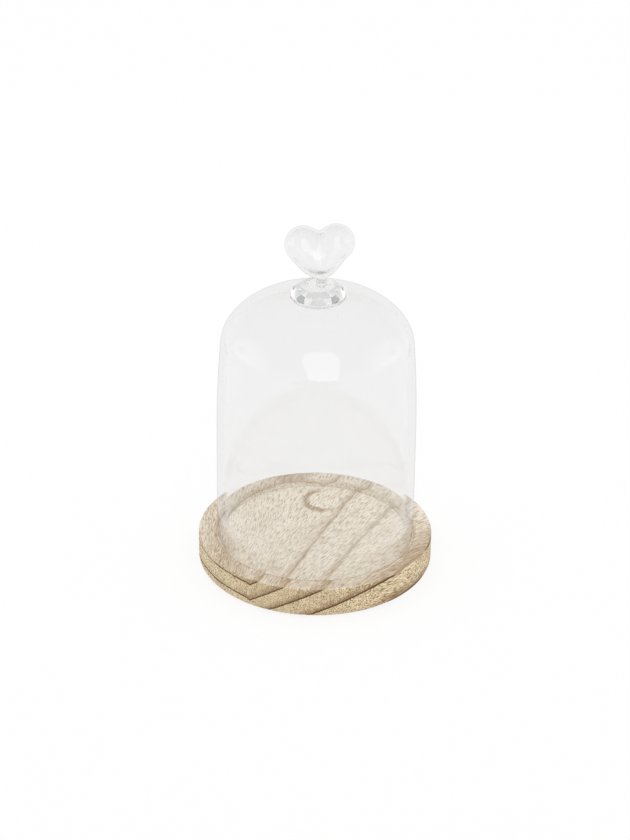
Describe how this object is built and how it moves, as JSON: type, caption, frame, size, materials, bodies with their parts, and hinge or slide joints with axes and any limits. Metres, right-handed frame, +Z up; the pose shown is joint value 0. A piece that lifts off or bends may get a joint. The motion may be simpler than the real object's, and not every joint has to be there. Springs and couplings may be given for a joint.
{
  "type": "bell jar",
  "caption": "Clear blown-glass display dome with a hollow heart-shaped glass knob, standing in the shallow recess of a round turned wooden base.",
  "frame": {"origin": "centre of the base's underside, on the dome's axis", "axes": "+Z up along the dome's axis, -Y towards the viewer who sees the heart's face, +X to that viewer's right"},
  "size_m": [0.12, 0.12, 0.1891],
  "materials": {
    "pale_wood": "bare, fine sanded, open-pored pale wood with darker growth rings",
    "dome_glass": "clear, fire polished",
    "knob_glass": "clear, thick, fire polished",
    "heart_glass": "clear, thin blown, fire polished"
  },
  "bodies": {
    "base": {"wood_base": "pale_wood"},
    "dome": {"glass_dome": "dome_glass", "crown_pad": "knob_glass", "knob_stem": "knob_glass", "heart_knob": "heart_glass"}
  },
  "joints": [
    {"name": "dome_lift", "type": "slide", "parent": "base", "child": "dome", "axis": [0, 0, 1], "range_m": [0, 0.18]}
  ]
}
